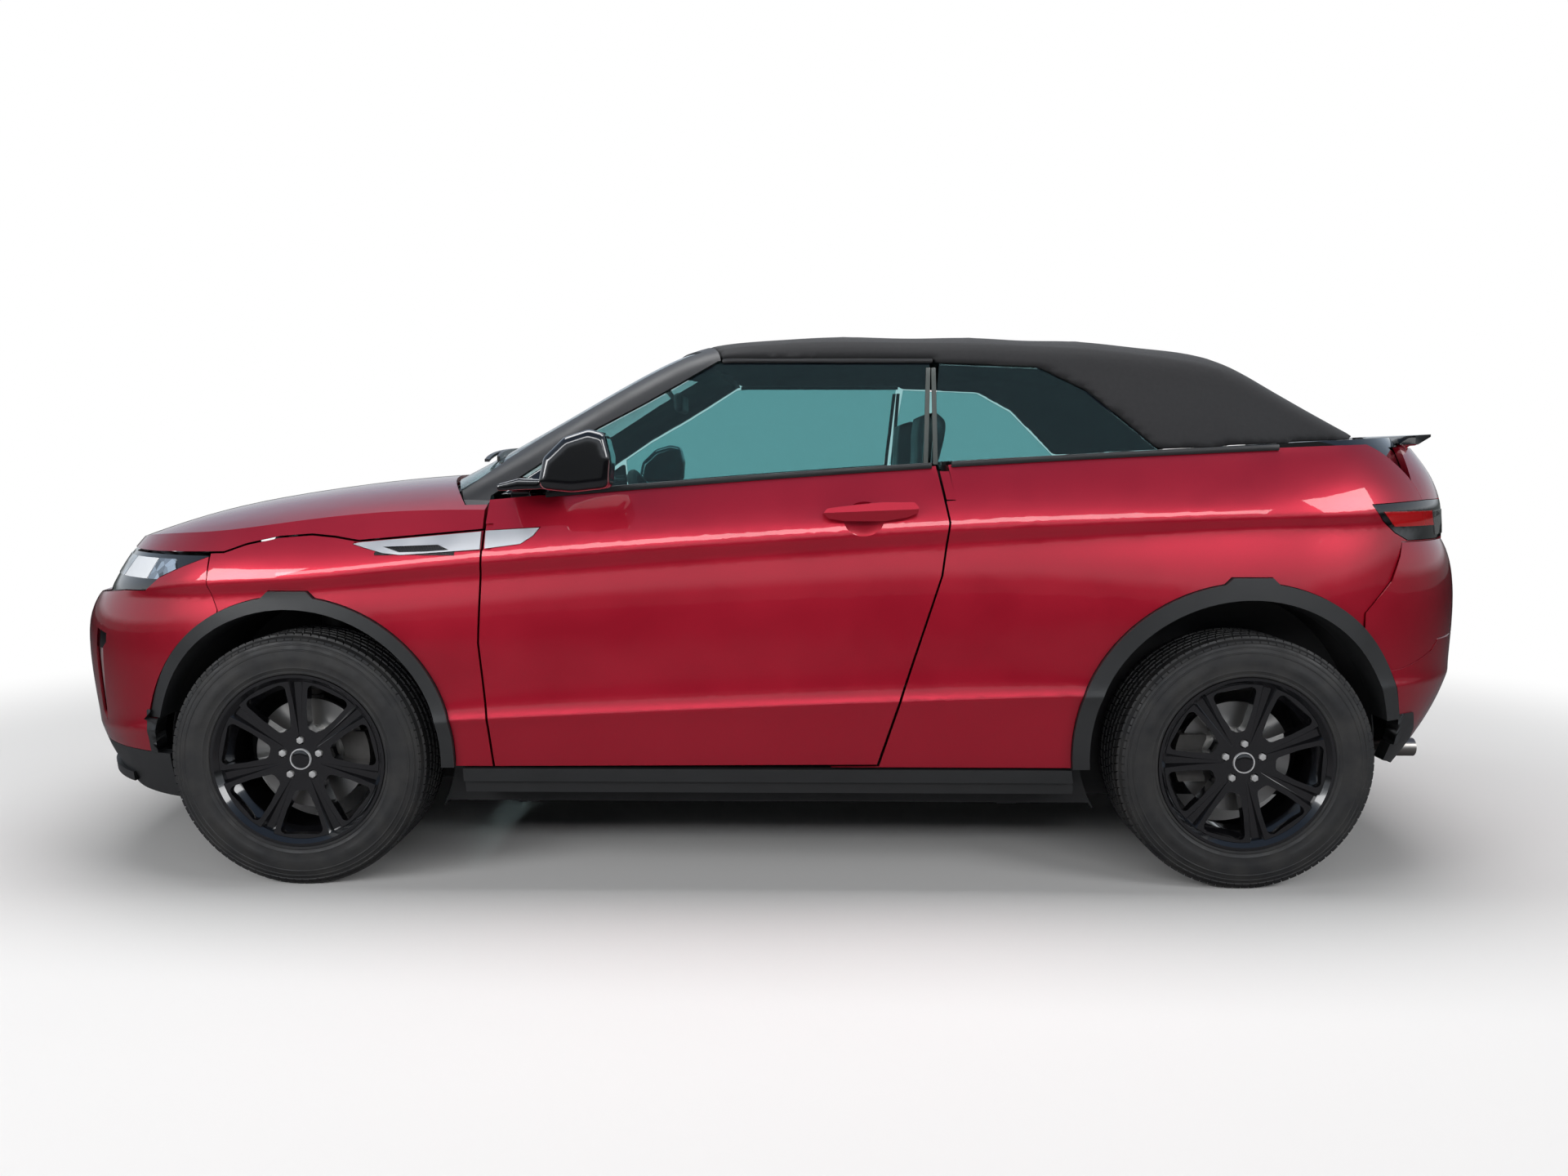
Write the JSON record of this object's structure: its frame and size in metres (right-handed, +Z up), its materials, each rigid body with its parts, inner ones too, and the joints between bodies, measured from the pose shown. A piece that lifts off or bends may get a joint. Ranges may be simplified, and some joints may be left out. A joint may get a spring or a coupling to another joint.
{
  "type": "convertible car",
  "caption": "compact two-door convertible car with a raised fabric roof, steered front wheels, opening doors, bonnet and boot lid",
  "frame": {"origin": "on the ground under the middle of the car's length and width", "axes": "+X points forwards, +Y to the car's left, +Z up"},
  "size_m": [4.364, 2.13, 1.6102],
  "materials": {
    "paint": "deep red metallic gloss",
    "structure": "dark primer",
    "plastic": "black grained plastic",
    "gloss_black": "gloss black",
    "fabric": "black woven roof cloth",
    "glass": "tinted clear glass",
    "silver": "satin silver paint",
    "lamp": "clear lens over dark bezel",
    "tail_lamp": "red lens",
    "seat": "dark leather",
    "iron": "bare cast iron",
    "steel": "bare steel",
    "rim": "gloss black paint on alloy",
    "tyre": "black rubber"
  },
  "bodies": {
    "body": {"floor_pan": "structure", "fender_left": "paint", "fender_right": "paint", "quarter_left": "paint", "quarter_right": "paint", "front_bumper": "paint", "front_guard": "plastic", "grille": "plastic", "headlamps": "lamp", "rear_bumper": "paint", "rear_guard": "plastic", "tail_lamps": "tail_lamp", "rear_deck": "plastic", "arch_trims": "plastic", "sill_trims": "plastic", "windscreen_frame": "gloss_black", "windscreen": "glass", "soft_top": "fabric", "rear_glass": "glass", "dashboard": "plastic", "front_seats": "seat", "rear_bench": "seat", "engine_block": "iron", "exhaust": "steel", "front_axle": "iron", "rear_axle": "iron", "vents": "silver"},
    "door_left": {"door_left": "paint", "door_glass_left": "glass", "mirror_left": "gloss_black", "door_vent_left": "silver"},
    "door_right": {"door_right": "paint", "door_glass_right": "glass", "mirror_right": "gloss_black", "door_vent_right": "silver"},
    "bonnet": {"bonnet": "paint"},
    "tailgate": {"tailgate": "paint"},
    "steering_wheel": {"steering_wheel": "plastic"},
    "knuckle_left": {"knuckle_left": "iron"},
    "knuckle_right": {"knuckle_right": "iron"},
    "wheel_front_left": {"tyre_front_left": "tyre", "rim_front_left": "rim", "brake_disc_front_left": "steel"},
    "wheel_front_right": {"tyre_front_right": "tyre", "rim_front_right": "rim", "brake_disc_front_right": "steel"},
    "wheel_rear_left": {"tyre_rear_left": "tyre", "rim_rear_left": "rim", "brake_disc_rear_left": "steel"},
    "wheel_rear_right": {"tyre_rear_right": "tyre", "rim_rear_right": "rim", "brake_disc_rear_right": "steel"}
  },
  "joints": [
    {"name": "steer_left", "type": "hinge", "parent": "body", "child": "knuckle_left", "pos_m": [1.3, 0.772, 0.362], "axis": [0, 0, 1], "range_deg": [-35, 35]},
    {"name": "steer_right", "type": "hinge", "parent": "body", "child": "knuckle_right", "pos_m": [1.3, -0.772, 0.362], "axis": [0, 0, 1], "range_deg": [-35, 35]},
    {"name": "steering_wheel_turn", "type": "hinge", "parent": "body", "child": "steering_wheel", "pos_m": [0.345, 0.37, 1], "axis": [-0.9063, 0, 0.4226], "range_deg": [-490, 490]},
    {"name": "spin_front_left", "type": "hinge", "parent": "knuckle_left", "child": "wheel_front_left", "pos_m": [1.3, 0.8125, 0.362], "axis": [0, 1, 0], "continuous": true},
    {"name": "spin_front_right", "type": "hinge", "parent": "knuckle_right", "child": "wheel_front_right", "pos_m": [1.3, -0.8125, 0.362], "axis": [0, 1, 0], "continuous": true},
    {"name": "spin_rear_left", "type": "hinge", "parent": "body", "child": "wheel_rear_left", "pos_m": [-1.36, 0.8125, 0.362], "axis": [0, 1, 0], "continuous": true},
    {"name": "spin_rear_right", "type": "hinge", "parent": "body", "child": "wheel_rear_right", "pos_m": [-1.36, -0.8125, 0.362], "axis": [0, 1, 0], "continuous": true},
    {"name": "door_left_swing", "type": "hinge", "parent": "body", "child": "door_left", "pos_m": [0.75, 0.952, 0.7], "axis": [0, 0, -1], "range_deg": [0, 65]},
    {"name": "door_right_swing", "type": "hinge", "parent": "body", "child": "door_right", "pos_m": [0.75, -0.952, 0.7], "axis": [0, 0, 1], "range_deg": [0, 65]},
    {"name": "bonnet_lift", "type": "hinge", "parent": "body", "child": "bonnet", "pos_m": [0.76, 0, 1.12], "axis": [0, -1, 0], "range_deg": [0, 50]},
    {"name": "tailgate_lift", "type": "hinge", "parent": "body", "child": "tailgate", "pos_m": [-1.925, 0, 1.275], "axis": [0, 1, 0], "range_deg": [0, 80]}
  ],
  "couplings": [
    {"joint": "steer_right", "follows": "steer_left", "ratio": 1},
    {"joint": "steering_wheel_turn", "follows": "steer_left", "ratio": 14}
  ]
}
